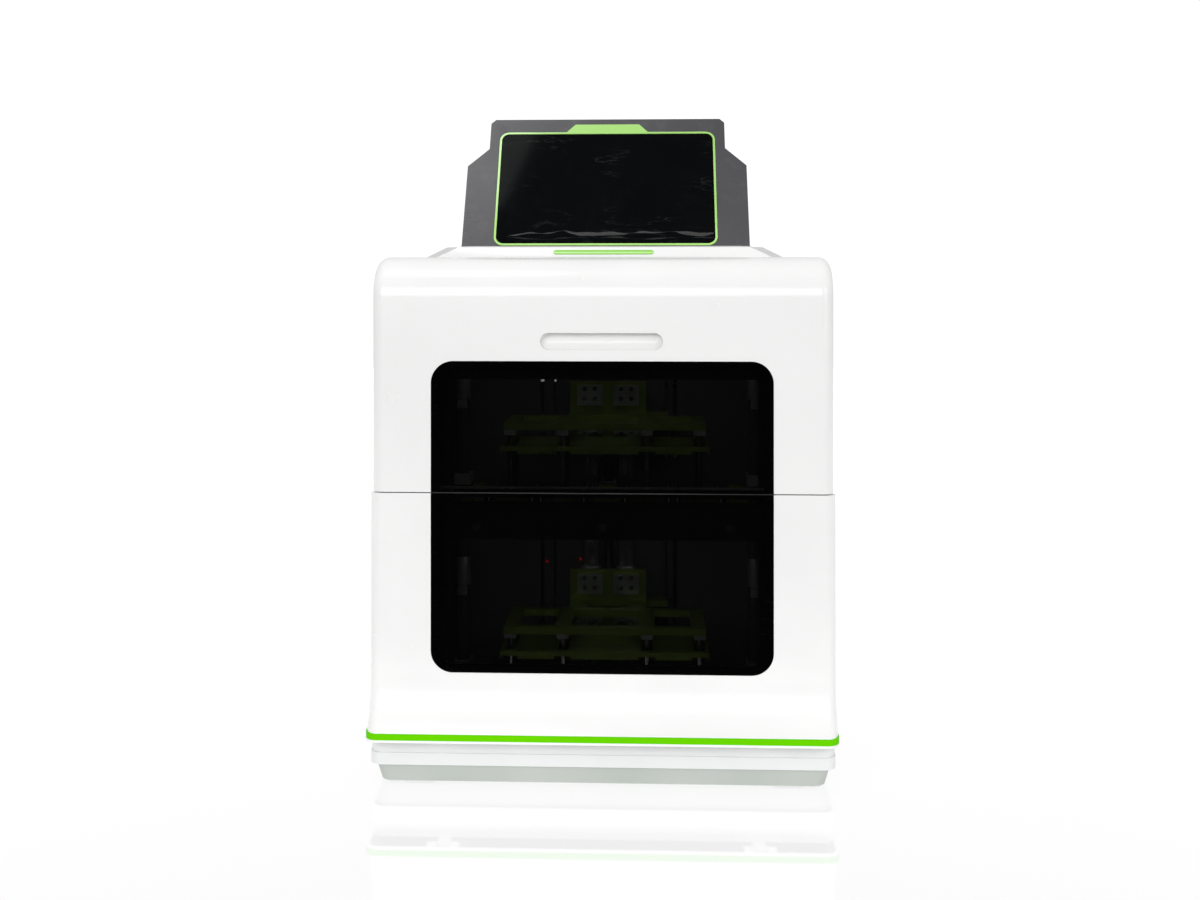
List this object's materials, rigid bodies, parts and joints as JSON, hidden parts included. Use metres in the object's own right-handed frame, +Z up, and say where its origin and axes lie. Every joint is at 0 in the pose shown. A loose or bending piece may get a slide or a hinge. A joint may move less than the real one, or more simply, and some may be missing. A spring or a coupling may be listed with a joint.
{
  "type": "nucleic acid extraction system",
  "caption": "White bench-top nucleic acid extractor with a split smoked window, magnetic-rod stations, a tilted touch screen and a green strip round its flared foot.",
  "frame": {"origin": "bottom centre of the bounding box, on the surface the rubber feet stand on", "axes": "+Z up, -Y towards the user (the windows and the screen face -Y), +X to the right in the picture"},
  "size_m": [0.4472, 0.5022, 0.6612],
  "materials": {
    "casing_white": "fine matt, moulded and painted white",
    "casing_sheet": "fine matt white powder coat",
    "plinth_grey": "matt grey-green paint",
    "foot_rubber": "matt black",
    "strip_green": "bright green, semi-gloss",
    "lime_gloss": "lime, glossy",
    "smoked_glass": "dark smoked, polished",
    "screen_grey": "satin grey with a metallic sheen",
    "screen_black": "black, glossy under a protective film",
    "black_sheet": "matt black",
    "wall_grey": "matt grey",
    "green_anodised": "yellow-green anodised, satin",
    "bare_aluminium": "satin, machined",
    "rail_steel": "ground",
    "rod_steel": "polished",
    "heater_black": "black anodised",
    "lamp_quartz": "clear quartz tube with metal caps",
    "socket_white": "matt white",
    "motor_black": "satin black",
    "supply_cage": "bright, formed sheet",
    "board_green": "solder mask",
    "fitting_black": "satin black"
  },
  "bodies": {
    "chassis": {"plinth": "plinth_grey", "rubber_feet": "foot_rubber", "base_tray": "casing_sheet", "side_strips": "strip_green", "side_panel_left": "casing_sheet", "side_panel_right": "casing_sheet", "roof_cover": "casing_white", "light_bar": "lime_gloss", "rear_panel": "casing_sheet", "front_frame": "black_sheet", "frame_screws": "rod_steel", "side_liners": "black_sheet", "back_wall": "wall_grey", "tier_shelves": "black_sheet", "slide_rails": "rail_steel", "lift_motors": "motor_black", "lift_bearings": "bare_aluminium", "lamp_sockets": "socket_white", "uv_lamps": "lamp_quartz", "power_supply": "supply_cage", "control_board": "board_green", "power_inlet": "fitting_black", "fan_housing": "fitting_black", "hinge_brackets": "rail_steel", "hinge_pins": "rod_steel", "screen_housing": "screen_grey", "screen_back": "screen_grey", "screen_frame": "lime_gloss", "screen_glass": "screen_black"},
    "upper_door": {"upper_door_shell": "casing_white", "upper_window": "smoked_glass", "handle_cup": "casing_white", "upper_hinge_leaves": "rail_steel"},
    "lower_door": {"lower_door_shell": "casing_white", "lower_window": "smoked_glass", "door_strip": "strip_green"},
    "switch": {"power_switch": "fitting_black"},
    "fan": {"fan_rotor": "fitting_black"},
    "upper_combs": {"upper_comb_frame": "green_anodised", "upper_comb_carriages": "bare_aluminium", "upper_rod_motor": "motor_black"},
    "upper_rods": {"upper_rod_frame": "green_anodised", "upper_rod_holders": "bare_aluminium", "upper_magnet_rods": "rod_steel", "upper_rod_carriages": "bare_aluminium", "upper_rod_plunger": "rod_steel"},
    "upper_tray": {"upper_tray_plate": "green_anodised", "upper_heater_bars": "heater_black"},
    "upper_screw": {"upper_lead_screw": "rod_steel"},
    "lower_combs": {"lower_comb_frame": "green_anodised", "lower_comb_carriages": "bare_aluminium", "lower_rod_motor": "motor_black"},
    "lower_rods": {"lower_rod_frame": "green_anodised", "lower_rod_holders": "bare_aluminium", "lower_magnet_rods": "rod_steel", "lower_rod_carriages": "bare_aluminium", "lower_rod_plunger": "rod_steel"},
    "lower_tray": {"lower_tray_plate": "green_anodised", "lower_heater_bars": "heater_black"},
    "lower_screw": {"lower_lead_screw": "rod_steel"}
  },
  "joints": [
    {"name": "upper_door_hinge", "type": "hinge", "parent": "chassis", "child": "upper_door", "pos_m": [0, -0.18, 0.5038], "axis": [-1, 0, 0], "range_deg": [0, 90]},
    {"name": "lower_door_hinge", "type": "hinge", "parent": "chassis", "child": "lower_door", "pos_m": [0, -0.235, 0.0538], "axis": [1, 0, 0], "range_deg": [0, 90]},
    {"name": "upper_comb_lift", "type": "slide", "parent": "chassis", "child": "upper_combs", "axis": [0, 0, 1], "range_m": [0, 0.05]},
    {"name": "upper_rod_lift", "type": "slide", "parent": "upper_combs", "child": "upper_rods", "axis": [0, 0, 1], "range_m": [0, 0.05]},
    {"name": "upper_tray_shift", "type": "slide", "parent": "chassis", "child": "upper_tray", "axis": [1, 0, 0], "range_m": [-0.0225, 0.0225]},
    {"name": "upper_screw_spin", "type": "hinge", "parent": "chassis", "child": "upper_screw", "pos_m": [0, -0.014, 0.2658], "axis": [0, 0, 1], "range_deg": [-1800, 0]},
    {"name": "lower_comb_lift", "type": "slide", "parent": "chassis", "child": "lower_combs", "axis": [0, 0, 1], "range_m": [0, 0.05]},
    {"name": "lower_rod_lift", "type": "slide", "parent": "lower_combs", "child": "lower_rods", "axis": [0, 0, 1], "range_m": [0, 0.05]},
    {"name": "lower_tray_shift", "type": "slide", "parent": "chassis", "child": "lower_tray", "axis": [1, 0, 0], "range_m": [-0.0225, 0.0225]},
    {"name": "lower_screw_spin", "type": "hinge", "parent": "chassis", "child": "lower_screw", "pos_m": [0, -0.014, 0.0578], "axis": [0, 0, 1], "range_deg": [-1800, 0]},
    {"name": "power_switch_rock", "type": "hinge", "parent": "chassis", "child": "switch", "pos_m": [-0.165, 0.2444, 0.105], "axis": [-1, 0, 0], "range_deg": [0, 16]},
    {"name": "fan_spin", "type": "hinge", "parent": "chassis", "child": "fan", "pos_m": [0.09, 0.23, 0.3938], "axis": [0, 1, 0], "continuous": true}
  ],
  "couplings": [
    {"joint": "upper_screw_spin", "follows": "upper_comb_lift", "rad_per_m": -628.3},
    {"joint": "lower_screw_spin", "follows": "lower_comb_lift", "rad_per_m": -628.3}
  ]
}
